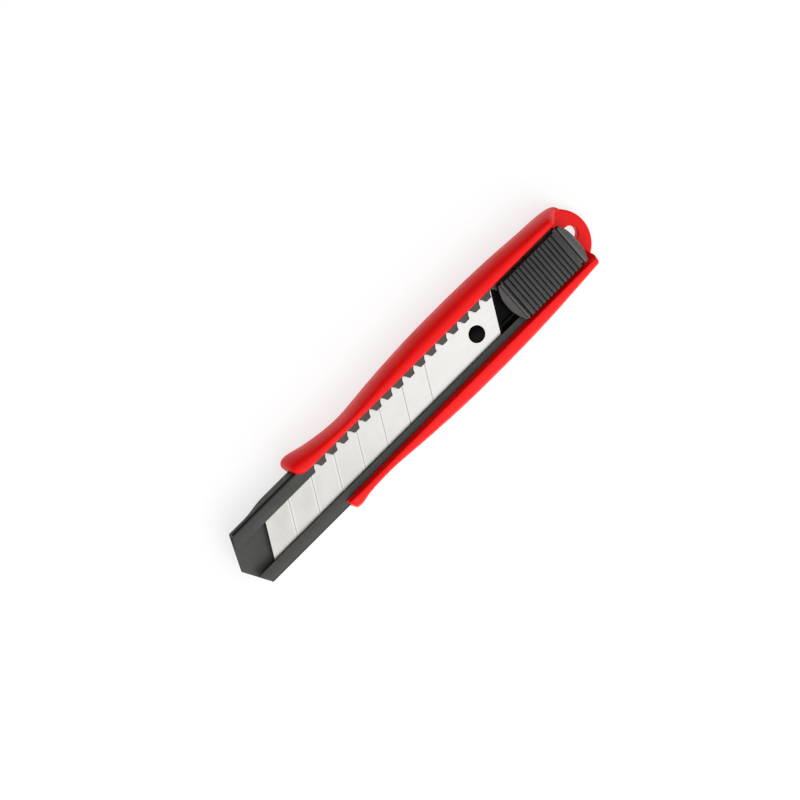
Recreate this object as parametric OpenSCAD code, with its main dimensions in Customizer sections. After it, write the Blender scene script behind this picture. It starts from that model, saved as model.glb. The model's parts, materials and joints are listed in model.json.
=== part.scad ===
// Snap-off utility knife with a steel blade guide, a ratcheting slider and a one-piece grip.
// +X points out of the nose, +Z is the slider side, and the knife lies on its flat back at z = 0.
// The toothed side of the guide is -Y, and the blade's cutting edge is on +Y.
// Lengthwise places are stations: distances behind the nose tip. at() turns one into an x.

/* [Overall] */
// Length from the nose tip to the end of the hang loop
overall_len = 154.8; // [154.6:0.1:155.2]
// Thickness of the grip's back plate
back_t = 3; // [2.8:0.1:3]
// Height of the grip's two rails
rail_h = 12; // [11.8:0.1:12.4]

/* [Blade] */
// Width of the blade
blade_w = 18; // [17.8:0.1:18]
// Length of the blade along its cutting edge
blade_len = 100; // [99:0.5:100]
// Thickness of the blade
blade_t = 0.5; // [0.4:0.1:0.5]
// Distance between two score lines
snap_pitch = 10; // [8:1:10]
// Number of score lines
snap_lines = 7; // [5:1:7]
// Angle between a score line and the cutting edge
snap_angle = 62; // [60:1:63]
// Width of the ground bevel beside the cutting edge
bevel_w = 1.3; // [0.8:0.1:1.6]
// Station of the blade's point when the slider is fully back
blade_start = 7.9; // [7.5:0.1:8.1]

/* [Blade guide] */
// Outer width of the folded steel guide
guide_w = 20.4; // [20.3:0.1:20.5]
// Outer height of the guide
guide_h = 3.7; // [3.7:0.1:3.8]
// Sheet thickness of the guide
sheet_t = 0.9; // [0.8:0.1:0.9]
// Width of the slot between the guide's two lips
slot_w = 11; // [11:0.2:11.4]
// Distance between two ratchet notches
notch_pitch = 4.864; // [4.8:0.016:4.88]
// Depth of a ratchet notch
notch_depth = 2; // [1.8:0.1:2]
// Number of ratchet notches
notches = 20; // [19:1:20]

/* [Slider] */
// Width of the slider and of its thumb button
slider_w = 14.2; // [13.6:0.2:14.2]
// Number of ribs across the thumb button
ribs = 14; // [12:1:14]
// Length of the thumb button's free play each way
button_play = 0.7; // [0.5:0.1:0.7]

/* [Hang loop] */
// Radius of the hole in the hang loop
hang_r = 2.5; // [2.3:0.1:2.7]
// Outer radius of the hang loop
loop_r = 11; // [10.8:0.1:11]

/* [Hidden] */
$fn = 96;
cut = 0.5;                                // how far a cutting solid runs past a face

// Heights above the back
frame_z = back_t;                         // underside of the inner frame
guide_z = frame_z + 2.8;                  // underside of the guide
floor_z = guide_z + sheet_t;              // inside floor of the guide
guide_top = guide_z + guide_h;
lip_z = guide_top - sheet_t;              // underside of the lips
blade_top = lip_z - 0.2;
blade_z = blade_top - blade_t;
slider_z = guide_top + 0.2;               // underside of the slider
slider_base_t = 0.9;
button_z = slider_z + slider_base_t + 0.15;
pocket_top = guide_top + 0.1;             // underside of the rails over the lips

// Stations and widths
guide_end = 143;
frame_w = guide_w - 0.5;
pocket_end = 144.4;
nose_y = 1.5;                             // the nose tip is a little nearer the cutting edge
nose_back = 5.4;                          // how far back the nose's two corners are
grip_start = 35.2;                        // station of the grip's front at y = 0
grip_end = 150.2;                         // station of the rails' rear ends at y = 0
front_slant = 18.9;                       // slant of the grip's front in plan, at y = 0
front_bow = 0.0026;                       // how much steeper that slant gets per mm towards the edge side
front_fade = 62;                          // station where cross-sections are square again
rear_slant = 6.3;                         // slant in plan between the rails' rear ends
front_r = 3.6;                            // length of the rounding at the rails' front
rear_r = 2;                               // length of the rounding at the edge rail's rear
rear_fall = 6.5;                          // length over which the toothed rail falls to the loop
edge_flare = 0.4;                         // how much wider the edge rail is at its front
loop_t = 3.1;
loop_station = overall_len - loop_r;
hang_station = 148.8;
stud_station = 104.1;
stud_r = 2.55;
blade_hole_r = 2.8;
slider_start = 116.7;
slider_end = 147.2;
button_start = 120.5;
button_end = 142.8;
well_start = button_start - button_play - 0.1;  // the well that the button sits in
well_end = button_end + button_play + 0.7;
first_notch = 38.5;
detent_notch = 17;                        // the notch that holds the slider when it is fully back
detent_station = first_notch + detent_notch * notch_pitch;
leaf_end = 139.3;
leaf_tail_y = -2.9;
rivet_stations = [27, 139.5];
rivet_r = 0.9;
rivet_head_r = 1.6;

// The grip's half width at stations along it
grip_widths = [
    [29, 14.6], [33, 14.5], [36, 14.15], [40, 13.1], [44, 12.35], [50, 11.6], [56, 11.4], [62, 11.9],
    [68.5, 12.55], [75, 13.05], [87, 13.7], [100, 13.9], [112, 13.8], [125, 13.35], [139.5, 12.3],
    [150, 11.35]
];

// x of a station
function at(station) = overall_len / 2 - station;

function lerp(a, b, t) = a + (b - a) * t;

// 0 before a, 1 after b, and smooth between them
function ease(a, b, s) = (1 - cos(180 * min(1, max(0, (s - a) / (b - a))))) / 2;

// Slope of a list of [station, value] points at its point i
function slope(points, i) =
    let (a = points[max(0, i - 1)], b = points[min(len(points) - 1, i + 1)])
    (b[1] - a[1]) / (b[0] - a[0]);

// Value at station s on the smooth curve through [station, value] points
function curve(points, s, i = 0) =
    s > points[i + 1][0] && i < len(points) - 2 ? curve(points, s, i + 1) :
    let (
        gap = points[i + 1][0] - points[i][0],
        t = (s - points[i][0]) / gap,
        rise = points[i][1] * (1 + 2 * t) * (1 - t) ^ 2 + points[i + 1][1] * t * t * (3 - 2 * t),
        lean = gap * (slope(points, i) * t * (1 - t) ^ 2 - slope(points, i + 1) * t * t * (1 - t))
    )
    rise + lean;

// Points of an arc of radius r about c, from angle a to angle b
function arc(c, r, a, b, steps = 6) =
    [for (i = [0:steps]) let (t = lerp(a, b, i / steps)) c + r * [cos(t), sin(t)]];

// Points that round the corner b between a and c with radius r
function rounded(a, b, c, r, steps = 5) =
    let (
        u = (a - b) / norm(a - b),
        v = (c - b) / norm(c - b),
        half = acos(u * v) / 2,
        mid = (u + v) / norm(u + v),
        centre = b + mid * r / sin(half),
        turn = cross(u, v) > 0 ? -1 : 1,
        start = atan2(-mid[1], -mid[0]) - turn * (90 - half)
    )
    arc(centre, r, start, start + turn * 2 * (90 - half), steps);

// A block between two stations, from y0 to y1 and z0 to z1
module block(s0, s1, y0, y1, z0, z1)
    translate([at(s1), y0, z0]) cube([s1 - s0, y1 - y0, z1 - z0]);

// A block that is symmetric across the knife
module bar(s0, s1, w, z0, z1) block(s0, s1, -w / 2, w / 2, z0, z1);

// A plan outline of [station, y] points, extruded from z0 to z1
module plan(points, z0, z1)
    translate([0, 0, z0]) linear_extrude(z1 - z0) polygon([for (p = points) [at(p[0]), p[1]]]);

// A side outline of [station, z] points, extruded across the width w
module side(points, w)
    translate([0, w / 2, 0]) rotate([90, 0, 0])
        linear_extrude(w) polygon([for (p = points) [at(p[0]), p[1]]]);

// An upright cylinder at a station
module post(station, r, z0, z1, y = 0) translate([at(station), y, z0]) cylinder(h = z1 - z0, r = r);

// ---- Grip ----

// 1 along the rails, falling to 0 on a quarter round at each end
function front_round(s) = sqrt(max(0, 1 - (max(0, grip_start + front_r - s) / front_r) ^ 2));
function rear_round(s, r) = sqrt(max(0, 1 - (max(0, s - grip_end + r) / r) ^ 2));

// How far behind station s the cross-section's point at y lies, so that both ends are slanted
function end_lean(s, y) =
    y * (tan(front_slant) + front_bow * y) * (1 - ease(grip_start, front_fade, s))
    - y * tan(rear_slant) * ease(pocket_end, grip_end, s);

// The outside of one rail from the back to its crest, as [distance from the middle, z] points.
// side is 1 for the edge rail and -1 for the toothed rail, which has the rounder ends.
function rail_outside(s, side) =
    let (
        toothed = side < 0,
        front = 1 - front_round(s),
        narrowing = toothed ? 2.8 * front + 3 * (1 - rear_round(s, rear_fall - 0.5))
                            : 0.8 * front + 1.9 * (1 - rear_round(s, rear_r)),
        fall = toothed ? ease(grip_end - rear_fall, grip_end, s) : 1 - rear_round(s, rear_r),
        station = s + end_lean(s, side * 12),
        flare = toothed ? 0 : edge_flare * (1 - ease(41, 47, station)),
        w = curve(grip_widths, station) + flare - narrowing,
        top = lerp(rail_h, loop_t, fall) - 1.6 * front,
        widest = min(lerp(4.6, 6.2, ease(39, 54, s)), 0.55 * top),
        crest = min(w - 0.4, slot_w / 2 + 4.2),
        foot = lerp(2.4, 1.3, ease(132, 146, s))
    )
    concat(
        [for (t = [0:18:90]) [w - foot + foot * sin(t), widest * (1 - cos(t))]],
        [for (t = [10:10:90]) [crest + (w - crest) * cos(t) ^ 0.9,
                               widest + (top - widest) * sin(t) ^ 0.9]]
    );

// One cross-section of the grip's outside, anticlockwise seen from the nose
function grip_section(s) =
    let (
        edge_side = rail_outside(s, 1),
        toothed_side = rail_outside(s, -1),
        n = len(edge_side),
        outline = concat(edge_side, [for (i = [n - 1:-1:0]) [-toothed_side[i][0], toothed_side[i][1]]])
    )
    [for (p = outline) [at(s + end_lean(s, p[0])), p[0], p[1]]];

// Stations of the cross-sections, closer together at the two rounded ends
grip_stations = concat(
    [for (t = [0:18:90]) grip_start + front_r * (1 - cos(t))],
    [for (i = [1:27]) lerp(grip_start + front_r, grip_end - rear_fall, i / 27)],
    [for (i = [1:5]) lerp(grip_end - rear_fall, grip_end - rear_r, i / 5)],
    [for (t = [18:18:90]) grip_end - rear_r + rear_r * sin(t)]
);

// The grip's outside as one solid swept along the stations
module grip_outside() {
    sections = [for (s = grip_stations) grip_section(s)];
    n = len(sections[0]);
    m = len(sections);
    polyhedron(
        points = [for (ring = sections) each ring],
        faces = concat(
            [[for (j = [n - 1:-1:0]) j]],
            [[for (j = [0:n - 1]) (m - 1) * n + j]],
            [for (i = [0:m - 2], j = [0:n - 1])
                let (a = i * n + j, b = i * n + (j + 1) % n) each [[a, b, b + n], [a, b + n, a + n]]]
        )
    );
}

// The trough between the two rails, wider towards its top
module rail_trough(s0, s1, z0) {
    low = slot_w / 2 + 2.3;
    high = low + 0.6;
    translate([at(s1), 0, 0]) rotate([90, 0, 90]) linear_extrude(s1 - s0) polygon([
        [-low, z0], [low, z0], [low, guide_top], [high, rail_h - 1], [high + 1, rail_h + cut],
        [-high - 1, rail_h + cut], [-high, rail_h - 1], [-low, guide_top]
    ]);
}

module grip() {
    color("red") difference() {
        union() {
            grip_outside();
            post(loop_station, loop_r, 0, loop_t);
        }
        // The pocket is wider round the guide than round the frame below it
        bar(0, pocket_end, frame_w + 0.1, frame_z, guide_z + cut);
        bar(0, pocket_end, guide_w + 0.2, guide_z - 0.05, pocket_top);
        rail_trough(0, pocket_end + cut, pocket_top - cut);
        rail_trough(pocket_end - cut, overall_len, loop_t);
        post(hang_station, hang_r, -cut, loop_t + cut);
    }
}

// ---- Inner frame ----

module inner_frame() {
    ramp = [for (i = [0:6]) [lerp(11.5, 20.5, i / 6), guide_z - (guide_z - frame_z) * ease(0, 6, i)]];
    color("#1c1c1c") difference() {
        union() {
            side(concat(ramp, [[guide_end, frame_z], [guide_end, guide_z]]), frame_w);
            bar(guide_end, pocket_end - 0.1, frame_w, frame_z, guide_top - 0.1);
        }
        for (s = rivet_stations) post(s, rivet_r, frame_z + 0.3, guide_z + cut);
    }
}

// ---- Blade guide ----

// Cross-section of the folded sheet, with y and z measured from the guide's lower middle
module guide_section() {
    w = guide_w / 2;
    bend = 1.1;
    inner = bend - sheet_t;
    half = concat(
        arc([w - bend, bend], bend, -90, 0),
        arc([w - bend, guide_h - bend], bend, 0, 90),
        [[slot_w / 2, guide_h], [slot_w / 2, guide_h - sheet_t]],
        arc([w - bend, guide_h - bend], inner, 90, 0),
        arc([w - bend, bend], inner, 0, -90)
    );
    polygon(concat(half, [for (i = [len(half) - 1:-1:0]) [-half[i][0], half[i][1]]]));
}

// The V between two ratchet teeth, steeper on its nose side and rounded into the tooth tips
module notch(station) {
    edge = -slot_w / 2;
    outline = [
        [-1.45, 0.3], [-1.22, -0.1], [-1.08, -0.45], [-0.8, -1.2], [-0.12, -notch_depth],
        [0.12, -notch_depth], [0.95, -1.2], [1.25, -0.45], [1.42, -0.1], [1.7, 0.3]
    ];
    plan([for (p = outline) [station + p[0], edge + p[1]]], lip_z - cut, guide_top + cut);
}

module blade_guide() {
    w = guide_w / 2;
    nose_r = 0.8;
    nose_half_angle = (atan((w + nose_y) / nose_back) + atan((w - nose_y) / nose_back)) / 2;
    tip = [nose_r - nose_r / sin(nose_half_angle), nose_y];
    toothed_corner = [nose_back, -w];
    edge_corner = [nose_back, w];
    color("#4c4c4a") difference() {
        intersection() {
            translate([at(guide_end), 0, guide_z]) rotate([90, 0, 90])
                linear_extrude(guide_end + cut) guide_section();
            plan(concat(
                [[guide_end, -w - cut], [nose_back - cut * tan(30), -w - cut]],
                rounded(toothed_corner, tip, edge_corner, nose_r),
                [[nose_back - cut * tan(30), w + cut], [guide_end, w + cut]]
            ), guide_z - cut, guide_top + cut);
        }
        for (i = [0:notches - 1]) notch(first_notch + i * notch_pitch);
        for (s = rivet_stations) {
            post(s, rivet_r, guide_z - cut, floor_z);
            post(s, rivet_head_r, floor_z - 0.6, floor_z + 0.1);
        }
    }
}

module guide_rivets() {
    color("silver") for (s = rivet_stations) {
        post(s, rivet_r, frame_z + 0.3, floor_z - 0.3);
        post(s, rivet_head_r, floor_z - 0.6, floor_z - 0.05);
    }
}

// ---- Blade ----

// Station along a line parallel to the score lines that starts at edge_station on the cutting edge
function slanted(edge_station, y) = edge_station + (blade_w / 2 - y) / tan(snap_angle);

module blade() {
    w = blade_w / 2;
    mid = blade_t / 2;
    score_w = 0.25;
    score_d = 0.1;
    reach = (blade_w + 2) / sin(snap_angle);
    color("gainsboro") difference() {
        intersection() {
            translate([at(blade_start + 2 * blade_len), 0, blade_z]) rotate([90, 0, 90])
                linear_extrude(2 * blade_len) polygon([
                    [-w, 0], [w - bevel_w, 0], [w, mid], [w - bevel_w, blade_t], [-w, blade_t]
                ]);
            plan([
                [slanted(blade_start, w), w], [slanted(blade_start, -w), -w],
                [slanted(blade_start + blade_len, -w), -w], [slanted(blade_start + blade_len, w), w]
            ], blade_z - cut, blade_top + cut);
        }
        for (i = [1:snap_lines])
            translate([at(slanted(blade_start + i * snap_pitch, 0)), 0, blade_top])
                rotate(snap_angle) cube([reach, score_w, 2 * score_d], center = true);
        post(stud_station, blade_hole_r, blade_z - cut, blade_top + cut);
    }
}

// ---- Blade carrier ----

module blade_carrier() {
    w = blade_w / 2 - 0.1;
    neck_w = slot_w - 0.6;
    carrier_start = 97;
    carrier_end = 142.4;
    neck_start = 118.9;
    seat = blade_start + blade_len + 0.15;
    wall_t = 0.9;
    dome_h = 0.9;
    dome_r = (stud_r ^ 2 + dome_h ^ 2) / (2 * dome_h);
    dome_top = blade_top + 0.1 + dome_h;
    color("#202020") {
        // The plate, thinner behind the blade than under it, and the stud through the blade's hole
        bar(carrier_start, carrier_end, 2 * w, floor_z + 0.15, floor_z + 0.65);
        plan([
            [carrier_start, w], [carrier_start, -w], [slanted(seat, -w), -w], [slanted(seat, w), w]
        ], floor_z + 0.6, blade_z);
        intersection() {
            post(stud_station, stud_r, blade_z - 0.2, dome_top + cut);
            translate([at(stud_station), 0, dome_top - dome_r]) sphere(r = dome_r);
        }
        difference() {
            union() {
                // The wall that the blade's rear end butts against, and a rib behind it
                plan([
                    [slanted(seat, w), w], [slanted(seat, -w), -w],
                    [slanted(seat + wall_t, -w), -w], [slanted(seat + wall_t, w), w]
                ], floor_z + 0.15, blade_top);
                block(seat + 3, neck_start + 0.1, 3.4, 4.2, floor_z + 0.15, blade_top);
                // The thick rear part, and the neck through the slot between the lips
                bar(neck_start, carrier_end, 2 * w, floor_z + 0.15, blade_top);
                bar(neck_start, carrier_end, neck_w, blade_top, slider_z);
            }
            // The recess that the ratchet spring flexes into
            plan([
                [neck_start - cut, -w], [neck_start - cut, -2], [124.5, -2.6], [137, -4.4],
                [leaf_end - 0.45, -4.4], [leaf_end - 0.45, leaf_tail_y], [leaf_end + 0.05, leaf_tail_y],
                [leaf_end + 0.05, -w]
            ], lip_z - 0.1, slider_z + cut);
            // The pocket for the foot of the thumb button
            bar(125.8, 138.2, 4.8, slider_z - 0.8, slider_z + cut);
        }
    }
}

// ---- Slider body ----

// Plan outline of the slider, with its front and rear ends bowed outwards
module slider_plan(z0, z1) {
    w = slider_w / 2;
    front_bow = 1.25;
    rear_bow = 1.75;
    front_r = (w ^ 2 + front_bow ^ 2) / (2 * front_bow);
    rear_r = (w ^ 2 + rear_bow ^ 2) / (2 * rear_bow);
    intersection() {
        bar(slider_start, slider_end, slider_w, z0, z1);
        post(slider_start + front_r, front_r, z0, z1);
        post(slider_end - rear_r, rear_r, z0, z1);
    }
}

module slider_body() {
    base_top = slider_z + slider_base_t;
    color("#4a4a4a") difference() {
        intersection() {
            slider_plan(slider_z, rail_h + 1);
            side([
                [slider_start, slider_z], [slider_start, slider_z + 0.6], [well_start - 1.2, 12],
                [well_start - 1.05, 11.6], [well_start - 0.8, 11.6], [well_start - 0.65, 12.4],
                [well_start - 0.2, 12.4], [well_start, 12.2], [well_start, base_top],
                [well_end, base_top], [well_end, 12.3], [well_end + 0.5, 12.4],
                [slider_end - 0.6, 11.7], [slider_end, 10.8], [slider_end, slider_z]
            ], slider_w);
        }
        // The window that the button's key and its springs sit in
        bar(124, 140, 3.8, slider_z - cut, base_top + cut);
    }
}

// ---- Thumb button ----

module thumb_button() {
    pitch = (button_end - button_start) / ribs;
    valley = 11.7;
    peak = 12.6;
    grooves = [for (i = [1:ribs - 1]) let (s = button_start + i * pitch) each [
        [s - 0.24 * pitch, peak], [s - 0.17 * pitch, peak - 0.1], [s - 0.1 * pitch, valley],
        [s + 0.1 * pitch, valley], [s + 0.17 * pitch, peak - 0.1], [s + 0.24 * pitch, peak]
    ]];
    front = [[button_start, button_z], [button_start, peak - 0.1], [button_start + 0.1, peak]];
    rear = [[button_end - 0.1, peak], [button_end, peak - 0.1], [button_end, button_z]];
    color("#3a3a3c") {
        side(concat(front, grooves, rear), slider_w);
        // The key through the slider's window, and the foot that keeps it there
        bar(127, 137, 3.2, slider_z - 0.1, button_z + 0.1);
        bar(127, 137, 4.4, slider_z - 0.65, slider_z - 0.1);
    }
}

// ---- Springs ----

// A flat wire folded back and forth between two stations
module folded_wire(s0, s1, w, z0, z1) {
    wire = 0.3;
    folds = 4;
    step = (s1 - s0 - wire) / folds;
    for (i = [0:folds]) bar(s0 + i * step, s0 + i * step + wire, w, z0, z1);
    for (i = [0:folds - 1]) {
        y = (i % 2 == 0 ? 1 : -1) * (w - wire) / 2;
        block(s0 + i * step, s0 + (i + 1) * step + wire, y - wire / 2, y + wire / 2, z0, z1);
    }
}

module button_springs() {
    color("silver") {
        folded_wire(124.05, 126.95, 3.2, slider_z + 0.15, slider_z + 0.75);
        folded_wire(137.05, 139.95, 3.2, slider_z + 0.15, slider_z + 0.75);
    }
}

// A flat steel leaf with a tooth that clicks into the notches, and a tail bent into the carrier
module ratchet_spring() {
    leaf_y = -slot_w / 2 + 0.6;
    tooth_y = -slot_w / 2 - notch_depth + 0.35;
    leaf_t = 0.4;
    color("silver") plan([
        [leaf_end, leaf_y], [leaf_end, leaf_tail_y], [leaf_end - leaf_t, leaf_tail_y],
        [leaf_end - leaf_t, leaf_y + leaf_t], [detent_station - 1.6, leaf_y + leaf_t],
        [detent_station - 1.6, leaf_y], [detent_station - 1.05, leaf_y - 0.1],
        [detent_station - 0.15, tooth_y], [detent_station + 0.15, tooth_y],
        [detent_station + 1.2, leaf_y]
    ], lip_z + 0.05, guide_top - 0.05);
}

grip();
inner_frame();
blade_guide();
guide_rivets();
blade();
blade_carrier();
slider_body();
thumb_button();
button_springs();
ratchet_spring();
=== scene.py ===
"""Looks for the snap-off knife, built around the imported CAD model.

+X points out of the nose, +Z is the slider side, and the knife lies on its flat back at z = 0.
The toothed lip is on -Y and the cutting edge on +Y. Lengthwise places are stations: distances
behind the nose tip in millimetres, which at() turns into an x in metres.
"""

import json
import math

import bmesh
import bpy
from mathutils import Matrix, Vector


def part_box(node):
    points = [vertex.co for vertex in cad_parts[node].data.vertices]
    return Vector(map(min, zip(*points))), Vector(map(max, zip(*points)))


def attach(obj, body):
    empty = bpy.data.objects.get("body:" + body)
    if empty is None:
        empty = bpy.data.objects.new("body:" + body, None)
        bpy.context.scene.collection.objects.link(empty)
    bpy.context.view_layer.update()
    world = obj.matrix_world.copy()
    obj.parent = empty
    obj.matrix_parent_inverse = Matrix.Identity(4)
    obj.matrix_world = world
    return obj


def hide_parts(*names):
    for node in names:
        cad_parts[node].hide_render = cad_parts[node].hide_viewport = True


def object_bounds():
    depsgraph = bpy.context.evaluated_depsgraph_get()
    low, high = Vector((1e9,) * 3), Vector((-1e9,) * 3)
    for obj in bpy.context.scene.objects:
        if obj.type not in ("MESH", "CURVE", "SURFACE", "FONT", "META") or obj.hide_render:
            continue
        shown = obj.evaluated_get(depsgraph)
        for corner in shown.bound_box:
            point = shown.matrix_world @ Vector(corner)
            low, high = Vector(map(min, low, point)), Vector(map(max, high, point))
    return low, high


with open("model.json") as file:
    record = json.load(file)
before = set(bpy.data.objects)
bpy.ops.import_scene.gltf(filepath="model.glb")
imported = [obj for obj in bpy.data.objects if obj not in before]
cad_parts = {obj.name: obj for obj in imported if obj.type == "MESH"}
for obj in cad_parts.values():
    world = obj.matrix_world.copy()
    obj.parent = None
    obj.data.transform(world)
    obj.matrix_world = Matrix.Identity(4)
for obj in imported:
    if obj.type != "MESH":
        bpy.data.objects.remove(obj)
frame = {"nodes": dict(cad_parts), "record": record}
cad_low, cad_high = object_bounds()

MM = 0.001
grip_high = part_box("grip")[1]
edge_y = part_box("blade")[1].y
guide_low, guide_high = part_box("blade_guide")
frame_low, frame_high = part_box("inner_frame")

nose_x = cad_high.x
rail_h = grip_high.z / MM
back_t = frame_low.z / MM
guide_top = guide_high.z / MM
guide_w = (guide_high.y - guide_low.y) / MM
guide_z = guide_low.z / MM
pocket_top = guide_top + 0.1
pocket_half_w = guide_w / 2 + 0.1
frame_half_w = frame_high.y / MM + 0.05
pocket_end = 144.4
grip_start = 35.2                         # station of the grip's front at y = 0
grip_end = 150.2                          # station of the rails' rear ends at y = 0
front_slant = math.tan(math.radians(18.9))
front_bow = 0.0026                        # how much the front's slant grows per mm across
front_fade = 62.0                         # station where cross-sections are square again
rear_slant = math.tan(math.radians(6.3))
front_r = 3.6
rear_r = 2.0
rear_fall = 6.5                           # length over which the toothed rail falls to the loop
loop_t = 3.1
loop_r = 11.0
edge_flare = 0.4                          # how much wider the edge rail is at its front
toothed_turn_in = (2.8, 3.0)              # how far that rail's side turns in at its front and rear
edge_turn_in = (0.8, 1.9)                 # the same for the edge rail
front_drop = 1.9                          # how much lower the rails are at their front
inner_y = 8.4                             # half width between the rails at their tops
crest_y = 9.6                             # half width at the rails' crests
hang_hole = frame["record"]["mounts"][0]

# The grip's half width at stations along it
GRIP_WIDTHS = [
    (29, 14.6), (33, 14.5), (36, 14.15), (40, 13.1), (44, 12.35), (50, 11.6), (56, 11.4), (62, 11.9),
    (68.5, 12.55), (75, 13.05), (87, 13.7), (100, 13.9), (112, 13.8), (125, 13.35), (139.5, 12.3),
    (150, 11.35),
]


def at(station):
    """x in metres of a station in millimetres."""
    return nose_x - station * MM


def lerp(a, b, t):
    return a + (b - a) * t


def ease(a, b, s):
    """0 before a, 1 after b, and smooth between them."""
    t = min(1.0, max(0.0, (s - a) / (b - a)))
    return (1 - math.cos(math.pi * t)) / 2


def curve(points, s):
    """Value at s on the smooth curve through (station, value) points."""
    last = len(points) - 1

    def slope(i):
        (a, u), (b, v) = points[max(0, i - 1)], points[min(last, i + 1)]
        return (v - u) / (b - a)

    i = 0
    while i < last - 1 and s > points[i + 1][0]:
        i += 1
    gap = points[i + 1][0] - points[i][0]
    t = (s - points[i][0]) / gap
    rise = points[i][1] * (1 + 2 * t) * (1 - t) ** 2 + points[i + 1][1] * t * t * (3 - 2 * t)
    lean = gap * (slope(i) * t * (1 - t) ** 2 - slope(i + 1) * t * t * (1 - t))
    return rise + lean


# ---- Camera ----

# The camera looks down from the toothed side, a little towards the nose, with a long lens. The
# knife runs up the picture at nearly 45 degrees, with its nose at the lower left.
KNIFE_SLANT = math.radians(44.9)
VIEW_AZIMUTH = math.radians(33.1)
VIEW_ELEVATION = math.radians(69.6)
LENS = 300.0
SENSOR = 36.0
VIEW_WIDTH = 0.2465                       # width of the picture at the knife
AIM = Vector((at(72.26), -0.00234, 0.008))


def make_camera():
    data = bpy.data.cameras.new("camera")
    data.lens = LENS
    data.sensor_width = SENSOR
    camera = bpy.data.objects.new("camera", data)
    bpy.context.scene.collection.objects.link(camera)
    back = Vector((
        math.sin(VIEW_AZIMUTH) * math.cos(VIEW_ELEVATION),
        -math.cos(VIEW_AZIMUTH) * math.cos(VIEW_ELEVATION),
        math.sin(VIEW_ELEVATION),
    ))
    rearward = (Vector((-1, 0, 0)) + back * back.x).normalized()
    across = back.cross(rearward)
    right = rearward * math.cos(KNIFE_SLANT) - across * math.sin(KNIFE_SLANT)
    up = back.cross(right)
    turn = Matrix((right, up, back)).transposed().to_4x4()
    distance = VIEW_WIDTH * LENS / SENSOR
    camera.matrix_world = Matrix.Translation(AIM + back * distance) @ turn
    data.clip_end = 10
    bpy.context.scene.camera = camera


make_camera()


# ---- Materials ----

BLADE_START = 7.9                         # station of the blade's point at rest
SCORE_PITCH = 10.0
SCORE_LINES = 7
BEVEL_W = 1.3
SCORE_ANGLE = 62.0


class Shader:
    """A material's node tree, with a Principled shader and object coordinates in millimetres."""

    def __init__(self, name, color, roughness, metallic=0.0, **sockets):
        self.material = bpy.data.materials.new(name)
        self.material.use_nodes = True
        self.tree = self.material.node_tree
        self.shader = self.tree.nodes["Principled BSDF"]
        self.color = color
        self.shader.inputs["Base Color"].default_value = (*color, 1)
        self.shader.inputs["Roughness"].default_value = roughness
        self.shader.inputs["Metallic"].default_value = metallic
        for socket, value in sockets.items():
            self.shader.inputs[socket.replace("_", " ")].default_value = value
        self.coords = self.add("ShaderNodeTexCoord").outputs["Object"]

    def add(self, kind, **values):
        node = self.tree.nodes.new(kind)
        for name, value in values.items():
            setattr(node, name, value)
        return node

    def link(self, a, b):
        self.tree.links.new(a, b)

    def stretched(self, scale):
        """Object coordinates multiplied by a scale per axis."""
        mapping = self.add("ShaderNodeMapping")
        mapping.inputs["Scale"].default_value = scale
        self.link(self.coords, mapping.inputs["Vector"])
        return mapping.outputs["Vector"]

    def noise(self, size, detail=3.0, stretch=(1, 1, 1)):
        """Noise with features about size millimetres across, times stretch along each axis."""
        node = self.add("ShaderNodeTexNoise")
        node.inputs["Scale"].default_value = 1.0
        node.inputs["Detail"].default_value = detail
        scale = [1 / (size * MM * s) for s in stretch]
        self.link(self.stretched(scale), node.inputs["Vector"])
        return node.outputs["Fac"]

    def remap(self, value, low, high, to_low, to_high):
        node = self.add("ShaderNodeMapRange")
        for socket, number in zip(("From Min", "From Max", "To Min", "To Max"),
                                  (low, high, to_low, to_high)):
            node.inputs[socket].default_value = number
        self.link(value, node.inputs["Value"])
        return node.outputs["Result"]

    def math(self, operation, a, b):
        node = self.add("ShaderNodeMath", operation=operation)
        for socket, value in zip(node.inputs, (a, b)):
            if isinstance(value, (int, float)):
                socket.default_value = value
            else:
                self.link(value, socket)
        return node.outputs["Value"]

    def axis(self, index):
        """One object coordinate, in metres."""
        node = self.add("ShaderNodeSeparateXYZ")
        self.link(self.coords, node.inputs["Vector"])
        return node.outputs[index]

    def facing_up(self):
        """How squarely the surface faces up or down, 0 to 1."""
        node = self.add("ShaderNodeSeparateXYZ")
        self.link(self.add("ShaderNodeNewGeometry").outputs["True Normal"], node.inputs["Vector"])
        return self.math("ABSOLUTE", node.outputs["Z"], 0.0)

    def mix_color(self, factor, color):
        """Mixes color over what the base colour is so far, by factor."""
        node = self.add("ShaderNodeMix", data_type="RGBA")
        base = self.shader.inputs["Base Color"]
        if base.is_linked:
            self.link(base.links[0].from_socket, node.inputs["A"])
        else:
            node.inputs["A"].default_value = base.default_value
        node.inputs["B"].default_value = (*color, 1)
        self.link(factor, node.inputs["Factor"])
        self.link(node.outputs["Result"], base)

    def vary_roughness(self, value, low, high):
        self.link(self.remap(value, 0.3, 0.7, low, high), self.shader.inputs["Roughness"])

    def bump(self, height, depth):
        """Raises the surface by height times depth in millimetres."""
        node = self.add("ShaderNodeBump")
        node.inputs["Distance"].default_value = depth * MM
        normal = self.shader.inputs["Normal"]
        if normal.is_linked:
            self.link(normal.links[0].from_socket, node.inputs["Normal"])
        self.link(height, node.inputs["Height"])
        self.link(node.outputs["Normal"], normal)


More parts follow.
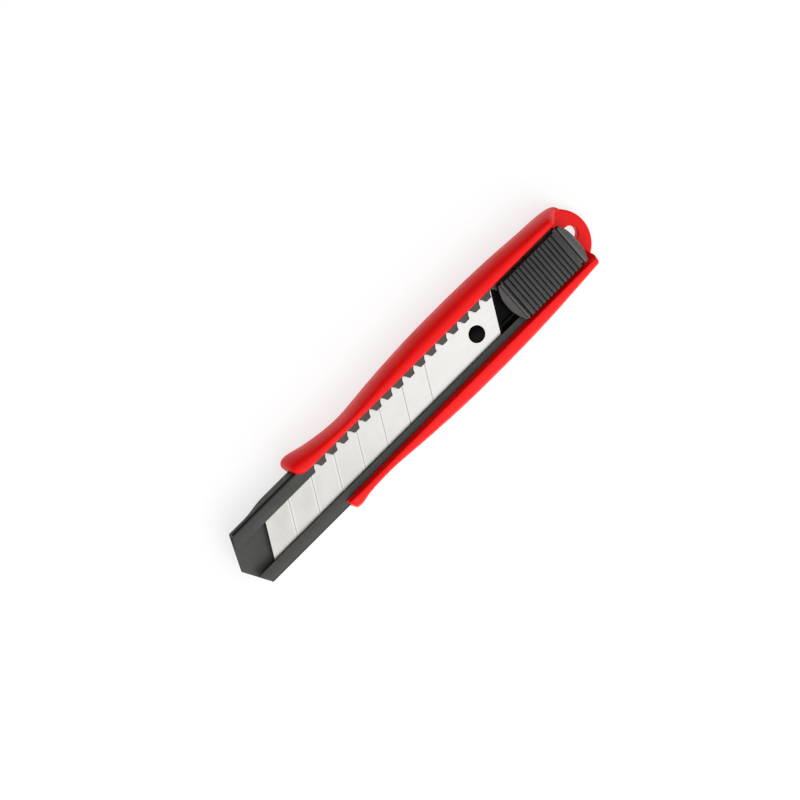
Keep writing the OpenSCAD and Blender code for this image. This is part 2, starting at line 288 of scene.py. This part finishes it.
def grip_plastic():
    """Red moulded plastic: a soft gloss over a very fine spark texture."""
    s = Shader("grip_plastic", (0.9, 0.004, 0.003), 0.33, Specular_IOR_Level=0.17)
    s.mix_color(s.remap(s.noise(9), 0.35, 0.75, 0.0, 0.55), (0.8, 0.003, 0.0027))
    s.vary_roughness(s.noise(4, 4), 0.3, 0.44)
    s.bump(s.noise(0.35, 4), 0.012)
    s.bump(s.noise(5, 2), 0.03)
    return s.material


def frame_plastic():
    """Black moulded plastic."""
    s = Shader("frame_plastic", (0.005, 0.005, 0.005), 0.5, Specular_IOR_Level=0.16)
    s.mix_color(s.remap(s.noise(6), 0.4, 0.7, 0.0, 0.6), (0.008, 0.008, 0.008))
    s.vary_roughness(s.noise(2), 0.42, 0.6)
    s.bump(s.noise(0.3), 0.012)
    return s.material


def guide_coating():
    """Black coating on sheet steel, scratched lengthwise on the flats, with painted light: surfaces
    facing up or down are painted a lighter dark grey, and the upright walls, bends and cut edges stay
    black as painted shade.
    """
    s = Shader("guide_coating", (0.005, 0.005, 0.0045), 0.46, 0.0, Specular_IOR_Level=0.25)
    # Painted light: the flats are painted a lighter grey, which leaves upright walls and cut edges black
    # as painted shade
    flat = s.remap(s.facing_up(), 0.86, 0.97, 0.0, 1.0)
    s.mix_color(flat, (0.052, 0.053, 0.048))
    patches = s.remap(s.noise(5, 5), 0.4, 0.75, 0.0, 0.6)
    s.mix_color(s.math("MULTIPLY", flat, patches), (0.036, 0.037, 0.033))
    scratches = s.remap(s.noise(0.25, 4, (60, 1, 1)), 0.66, 0.8, 0.0, 0.3)
    s.mix_color(s.math("MULTIPLY", flat, scratches), (0.15, 0.15, 0.14))
    s.vary_roughness(s.noise(1.2, 5), 0.4, 0.55)
    s.bump(s.noise(0.22, 3), 0.01)
    return s.material


def blade_steel():
    """Ground steel: lengthwise grinding marks, crosswise ones on the bevel, painted light that brightens
    it towards the rear, and score lines darkened by painted shade with a painted highlight just behind
    each.
    """
    s = Shader("blade_steel", (0.52, 0.51, 0.485), 0.36, 1.0)
    on_bevel = s.math("GREATER_THAN", s.axis(1), edge_y - BEVEL_W * MM)
    grain = s.add("ShaderNodeMix")
    s.link(on_bevel, grain.inputs["Factor"])
    s.link(s.noise(0.12, 3, (50, 1, 1)), grain.inputs["A"])
    s.link(s.noise(0.1, 3, (1, 40, 40)), grain.inputs["B"])
    marks = grain.outputs["Result"]
    s.mix_color(s.remap(s.noise(7, 3), 0.35, 0.75, 0.0, 0.8), (0.44, 0.435, 0.41))
    # Painted light: the blade grows lighter towards its rear
    s.mix_color(s.remap(s.axis(0), at(25), at(95), 0.0, 0.7), (0.72, 0.715, 0.7))
    s.mix_color(s.remap(marks, 0.3, 0.7, 0.35, 0.0), (0.37, 0.37, 0.36))
    # How far each point lies behind the score line before it, from the slant of the lines
    slant = 1 / math.tan(math.radians(SCORE_ANGLE))
    behind = s.math("SUBTRACT", at(BLADE_START) - edge_y * slant, s.axis(0))
    behind = s.math("ADD", behind, s.math("MULTIPLY", s.axis(1), slant))
    line = s.math("PINGPONG", behind, SCORE_PITCH * MM / 2)
    past_first = s.math("GREATER_THAN", behind, SCORE_PITCH * MM / 2)
    before_last = s.math("LESS_THAN", behind, (SCORE_LINES + 0.5) * SCORE_PITCH * MM)
    scored = s.math("MULTIPLY", past_first, before_last)
    # Painted shade darkens each score line, and a painted highlight lightens a band just behind it
    painted_groove_shade = s.math("MULTIPLY", scored, s.remap(line, 0.1 * MM, 0.26 * MM, 0.45, 0.0))
    painted_groove_highlight = s.math("MULTIPLY", scored, s.remap(line, 0.4 * MM, 1.1 * MM, 0.5, 0.0))
    # Painted highlight behind each score line, then painted shade on the line itself
    s.mix_color(painted_groove_highlight, (0.62, 0.61, 0.59))
    s.mix_color(painted_groove_shade, (0.2, 0.2, 0.195))
    s.vary_roughness(marks, 0.3, 0.46)
    s.bump(marks, 0.004)
    return s.material


def carrier_plastic():
    """Black plastic with a dull gloss."""
    s = Shader("carrier_plastic", (0.002, 0.002, 0.002), 0.45, Specular_IOR_Level=0.05)
    s.mix_color(s.remap(s.noise(3), 0.4, 0.7, 0.0, 0.5), (0.006, 0.006, 0.0055))
    s.vary_roughness(s.noise(2), 0.36, 0.52)
    s.bump(s.noise(1.5, 2), 0.01)
    return s.material


def slider_plastic(name, color, worn):
    """Dark grey moulded plastic, lighter where thumbs rub it, with painted shade that makes its upright
    walls blacker.
    """
    s = Shader(name, color, 0.42, Specular_IOR_Level=0.3)
    s.mix_color(s.remap(s.noise(4, 4), 0.4, 0.75, 0.0, 0.6), worn)
    # Painted shade: upright walls, such as those in the gaps between the ribs, are painted nearly black
    s.mix_color(s.remap(s.facing_up(), 0.1, 0.33, 1.0, 0.0), (0.004, 0.004, 0.004))
    s.vary_roughness(s.noise(1.5, 3), 0.34, 0.52)
    s.bump(s.noise(0.28, 3), 0.012)
    return s.material


def plain_steel(name, color, roughness):
    """Bare steel with fine drawing marks."""
    s = Shader(name, color, roughness, 1.0)
    marks = s.noise(0.1, 3, (20, 1, 1))
    s.mix_color(s.remap(marks, 0.3, 0.7, 0.4, 0.0), tuple(0.6 * c for c in color))
    s.vary_roughness(marks, roughness - 0.06, roughness + 0.08)
    s.bump(marks, 0.003)
    return s.material


MATERIALS = {
    "grip_plastic": grip_plastic(),
    "frame_plastic": frame_plastic(),
    "guide_coating": guide_coating(),
    "blade_steel": blade_steel(),
    "carrier_plastic": carrier_plastic(),
    "slider_plastic": slider_plastic("slider_plastic", (0.09, 0.086, 0.085), (0.12, 0.116, 0.114)),
    "button_plastic": slider_plastic("button_plastic", (0.034, 0.034, 0.035), (0.05, 0.05, 0.051)),
    "rivet_steel": plain_steel("rivet_steel", (0.6, 0.6, 0.6), 0.4),
    "spring_steel": plain_steel("spring_steel", (0.55, 0.55, 0.56), 0.3),
}
NODE_SLOTS = {sub["node"]: sub["material_slot"] for sub in frame["record"]["subparts"]}
NODE_BODIES = {
    node: body
    for body, nodes in frame["record"]["behaviour"]["bodies"].items()
    for node in nodes
}


# ---- Mesh helpers ----

def new_piece(name, points, faces):
    mesh = bpy.data.meshes.new(name)
    mesh.from_pydata(points, [], faces)
    piece = bpy.data.objects.new(name, mesh)
    bpy.context.scene.collection.objects.link(piece)
    return piece


def clean(piece, merge=1e-6):
    """Merges doubled points and turns every face outwards."""
    bm = bmesh.new()
    bm.from_mesh(piece.data)
    bmesh.ops.remove_doubles(bm, verts=bm.verts, dist=merge)
    bmesh.ops.dissolve_degenerate(bm, edges=bm.edges, dist=merge)
    bmesh.ops.recalc_face_normals(bm, faces=bm.faces)
    bm.to_mesh(piece.data)
    bm.free()


def smooth(piece, angle=32):
    """Smooth shading, with edges sharper than angle kept crisp."""
    for face in piece.data.polygons:
        face.use_smooth = True
    piece.data.set_sharp_from_angle(angle=math.radians(angle))


def apply_modifiers(piece):
    """Bakes the piece's modifiers into its mesh."""
    graph = bpy.context.evaluated_depsgraph_get()
    graph.update()
    mesh = bpy.data.meshes.new_from_object(piece.evaluated_get(graph))
    piece.modifiers.clear()
    piece.data = mesh


def combine(piece, other, operation):
    """Cuts other from piece, or adds it, and deletes other."""
    modifier = piece.modifiers.new(operation.lower(), "BOOLEAN")
    modifier.operation = operation
    modifier.object = other
    modifier.solver = "EXACT"
    apply_modifiers(piece)
    bpy.data.objects.remove(other)


def soften(piece, width, segments=2, angle=40):
    """Rounds the edges that are sharper than angle, by width in millimetres."""
    modifier = piece.modifiers.new("soften", "BEVEL")
    modifier.width = width * MM
    modifier.segments = segments
    modifier.limit_method = "ANGLE"
    modifier.angle_limit = math.radians(angle)
    modifier.use_clamp_overlap = True
    modifier.harden_normals = False
    apply_modifiers(piece)


def loft(name, rings):
    """A closed solid through rings of equally many points, flat at both ends."""
    n = len(rings[0])
    points = [p for ring in rings for p in ring]
    faces = [list(range(n)), [(len(rings) - 1) * n + j for j in reversed(range(n))]]
    for i in range(len(rings) - 1):
        for j in range(n):
            a, b = i * n + j, i * n + (j + 1) % n
            faces.append([a, a + n, b + n, b])
    piece = new_piece(name, points, faces)
    clean(piece)
    return piece


def lathe(name, centre, profile, steps):
    """A closed solid of revolution about an upright axis, from (radius, z) points in millimetres."""
    rings = []
    for i in range(steps):
        a = 2 * math.pi * i / steps
        rings.append([
            (centre.x + r * MM * math.cos(a), centre.y + r * MM * math.sin(a), z * MM)
            for r, z in profile
        ])
    n = len(profile)
    points = [p for ring in rings for p in ring]
    faces = []
    for i in range(steps):
        for j in range(n - 1):
            a, b = i * n + j, ((i + 1) % steps) * n + j
            faces.append([a, b, b + 1, a + 1])
    faces.append([i * n for i in range(steps)])
    faces.append([i * n + n - 1 for i in range(steps)])
    piece = new_piece(name, points, faces)
    clean(piece)
    return piece


def from_cad(node):
    """A new piece shaped like a CAD node, its flat faces joined up so that edges can be rounded."""
    source = frame["nodes"][node].data
    piece = new_piece(
        node + "_finished",
        [v.co.copy() for v in source.vertices],
        [list(p.vertices) for p in source.polygons],
    )
    bm = bmesh.new()
    bm.from_mesh(piece.data)
    bmesh.ops.remove_doubles(bm, verts=bm.verts, dist=2e-6)
    bmesh.ops.dissolve_degenerate(bm, edges=bm.edges, dist=1e-6)
    bmesh.ops.dissolve_limit(
        bm, angle_limit=math.radians(0.5), verts=bm.verts, edges=bm.edges, use_dissolve_boundaries=False
    )
    bmesh.ops.recalc_face_normals(bm, faces=bm.faces)
    bm.to_mesh(piece.data)
    bm.free()
    return piece


def dress(piece, *nodes):
    """Gives a piece its finish and its body, and hides the CAD nodes it stands for."""
    slot = NODE_SLOTS[nodes[0]]
    piece.data.materials.clear()
    piece.data.materials.append(MATERIALS[slot])
    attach(piece, NODE_BODIES[nodes[0]])
    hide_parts(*nodes)
    return piece


# ---- Grip ----

def front_round(s):
    """0 at the grip's front, rising to 1 on a quarter round."""
    return math.sqrt(max(0.0, 1 - (max(0.0, grip_start + front_r - s) / front_r) ** 2))


def rear_round(s, r):
    """1 along the rails, falling to 0 on a quarter round of length r at their rear end."""
    return math.sqrt(max(0.0, 1 - (max(0.0, s - grip_end + r) / r) ** 2))


def end_lean(s, y):
    """How far behind station s the section's point at y lies, in mm, so that both ends are slanted."""
    front = y * (front_slant + front_bow * y) * (1 - ease(grip_start, front_fade, s))
    return front - y * rear_slant * ease(pocket_end, grip_end, s)


def fillet(cy, cz, ry, rz, a, b, steps):
    """Points of an elliptical arc about (cy, cz), from angle a to angle b in degrees."""
    turns = [math.radians(lerp(a, b, i / steps)) for i in range(steps + 1)]
    return [(cy + ry * math.cos(t), cz + rz * math.sin(t)) for t in turns]


def rail_section(s, side, in_pocket):
    """(y, z) points in mm over one rail, from the middle of the back round to the middle of the floor.

    side is 1 for the edge rail and -1 for the toothed rail, which has the rounder ends.
    """
    end = 1 - front_round(s)
    station = s + end_lean(s, side * 12)
    if side < 0:
        narrowing = toothed_turn_in[0] * end
        narrowing += toothed_turn_in[1] * (1 - rear_round(s, rear_fall - 0.5))
        fall = ease(grip_end - rear_fall, grip_end, s)
        rounding = 2.0 * end
        flare = 0.0
    else:
        narrowing = edge_turn_in[0] * end + edge_turn_in[1] * (1 - rear_round(s, rear_r))
        fall = 1 - rear_round(s, rear_r)
        rounding = 0.4 * end
        flare = edge_flare * (1 - ease(41, 47, station))
    widest_allowed = (-cad_low.y if side < 0 else cad_high.y) / MM
    w = min(widest_allowed, curve(GRIP_WIDTHS, station) + flare - narrowing)
    top = lerp(rail_h, loop_t, fall) - front_drop * end
    widest = min(lerp(4.6, 6.2, ease(39, 54, s)), 0.55 * top)
    inner = min(inner_y, w - 1.1) + rounding
    low_inner = inner - 0.6
    crest = max(min(w - 0.3, crest_y + 0.5 * end), inner + 0.2)
    lift = 0.5 * end
    foot = lerp(2.4, 1.3, ease(132, 146, s))
    turns = [math.radians(9 * i) for i in range(11)]
    outside = [(w - foot + foot * math.sin(t), lift + (widest - lift) * (1 - math.cos(t)))
               for t in turns]
    turns = [math.radians(6 * i) for i in range(1, 16)]
    outside += [(crest + (w - crest) * math.cos(t) ** 0.9, widest + (top - widest) * math.sin(t) ** 0.9)
                for t in turns]
    edge = min(0.62, 0.3 * max(0.05, top - loop_t), 0.9 * (crest - inner))
    inside = fillet(inner + edge, top - edge, edge, edge, 90, 180, 6)
    if in_pocket:
        inside += [(lerp(inner, low_inner, t), lerp(top - edge, pocket_top + 0.35, t)) for t in (0.5, 1)]
        inside += fillet(low_inner + 0.25, pocket_top + 0.25, 0.25, 0.25, 180, 270, 4)
        inside += [(pocket_half_w, pocket_top), (pocket_half_w, guide_z)]
        inside += [(frame_half_w, guide_z), (frame_half_w, back_t)]
    else:
        seat = 0.9 * (1 - fall)
        inside += [(lerp(inner, low_inner, t), lerp(top - edge, loop_t + seat, t))
                   for t in (0.25, 0.5, 0.75, 1)]
        inside += fillet(low_inner - seat, loop_t + seat, seat, seat, 0, -90, 6)
    floor_z = back_t if in_pocket else loop_t
    return outside + inside + [(0.0, floor_z)]


def grip_ring(s, in_pocket):
    """One cross-section of the whole grip, sheared near the front where the grip's end is slanted."""
    section = rail_section(s, 1, in_pocket)
    section += [(-y, z) for y, z in reversed(rail_section(s, -1, in_pocket)[:-1])]
    return [(at(s + end_lean(s, y)), y * MM, z * MM) for y, z in section]


def make_grip():
    front = [grip_start + front_r * (1 - math.cos(math.radians(t))) for t in range(0, 91, 9)]
    along = [lerp(front[-1], pocket_end, i / 66) for i in range(1, 67)]
    rear_start = grip_end - rear_r
    rear = [pocket_end + 0.01] + [lerp(pocket_end, rear_start, i / 8) for i in range(1, 8)]
    rear += [rear_start + rear_r * math.sin(math.radians(t)) for t in range(0, 91, 9)]
    rings = [grip_ring(s, True) for s in front + along]
    rings += [grip_ring(s, False) for s in rear]
    body = loft("grip_moulding", rings)
    loop_centre = Vector((cad_low.x + loop_r * MM, 0, 0))
    edge = 0.7
    profile = fillet(loop_r - edge, edge, edge, edge, -90, 0, 6)
    profile += fillet(loop_r - edge, loop_t - edge, edge, edge, 0, 90, 6)
    combine(body, lathe("loop", loop_centre, profile, 128), "UNION")
    hole_r = hang_hole["dims"]["r_mm"]
    mouth = 0.45
    bore = fillet(hole_r + mouth, mouth, mouth, mouth, 270, 180, 5)
    bore += fillet(hole_r + mouth, loop_t - mouth, mouth, mouth, 180, 90, 5)
    bore = [(hole_r + mouth, -0.5)] + bore + [(hole_r + mouth, loop_t + 0.5)]
    hole_centre = Vector((hang_hole["pos_m"][0], hang_hole["pos_m"][1], 0))
    combine(body, lathe("hole", hole_centre, bore, 64), "DIFFERENCE")
    clean(body)
    smooth(body)
    return dress(body, "grip")


# ---- Pieces ----

make_grip()
for name, width in (
    ("inner_frame", 0.25), ("blade_guide", 0.1), ("blade_carrier", 0.12), ("slider_body", 0.22),
    ("thumb_button", 0.12),
):
    piece = from_cad(name)
    soften(piece, width)
    smooth(piece)
    dress(piece, name)
blade = from_cad("blade")
smooth(blade, 10)
dress(blade, "blade")
for name in ("guide_rivets", "button_springs", "ratchet_spring"):
    cad = frame["nodes"][name]
    cad.data.materials.clear()
    cad.data.materials.append(MATERIALS[NODE_SLOTS[name]])


# ---- Floor and lights ----

def make_floor():
    """A plain pale floor that glows a little, so that the shadows on it stay faint."""
    size = 3.0
    floor = new_piece("floor", [(-size, -size, 0), (size, -size, 0), (size, size, 0), (-size, size, 0)],
                      [(0, 1, 2, 3)])
    floor.location.z = -0.0001
    s = Shader("floor", (0.26, 0.26, 0.26), 0.9, Specular_IOR_Level=0.1)
    s.mix_color(s.remap(s.noise(40), 0.3, 0.7, 0.0, 0.4), (0.25, 0.25, 0.25))
    s.shader.inputs["Emission Color"].default_value = (1, 1, 1, 1)
    s.shader.inputs["Emission Strength"].default_value = 0.74
    floor.data.materials.append(s.material)


def area_light(name, place, size, power, color=(1, 1, 1)):
    data = bpy.data.lights.new(name, "AREA")
    data.shape = "RECTANGLE"
    data.size, data.size_y = size
    data.energy = power
    data.color = color
    light = bpy.data.objects.new(name, data)
    light.location = place
    light.rotation_euler = (Vector((0, 0, 0)) - Vector(place)).to_track_quat("-Z", "Y").to_euler()
    bpy.context.scene.collection.objects.link(light)


def make_studio():
    """One soft light, and a soft dome that is bright overhead and dark low on the toothed side."""
    area_light("edge_side", (0.2, 0.8, 0.9), (0.9, 0.7), 4)
    world = bpy.data.worlds.new("studio")
    world.use_nodes = True
    tree = world.node_tree
    coords = tree.nodes.new("ShaderNodeTexCoord")
    bright_side = tree.nodes.new("ShaderNodeVectorMath")
    bright_side.operation = "DOT_PRODUCT"
    bright_side.inputs[1].default_value = (0.1, 0.7, 0.9)
    strength = tree.nodes.new("ShaderNodeMapRange")
    strength.interpolation_type = "SMOOTHSTEP"
    for socket, number in (("From Min", 0.0), ("From Max", 1.0), ("To Min", 0.08), ("To Max", 1.4)):
        strength.inputs[socket].default_value = number
    tree.links.new(coords.outputs["Generated"], bright_side.inputs[0])
    tree.links.new(bright_side.outputs["Value"], strength.inputs["Value"])
    tree.links.new(strength.outputs["Result"], tree.nodes["Background"].inputs["Strength"])
    tree.nodes["Background"].inputs["Color"].default_value = (1, 1, 1, 1)
    bpy.context.scene.world = world
    bpy.context.scene.view_settings.view_transform = "Standard"


make_floor()
make_studio()
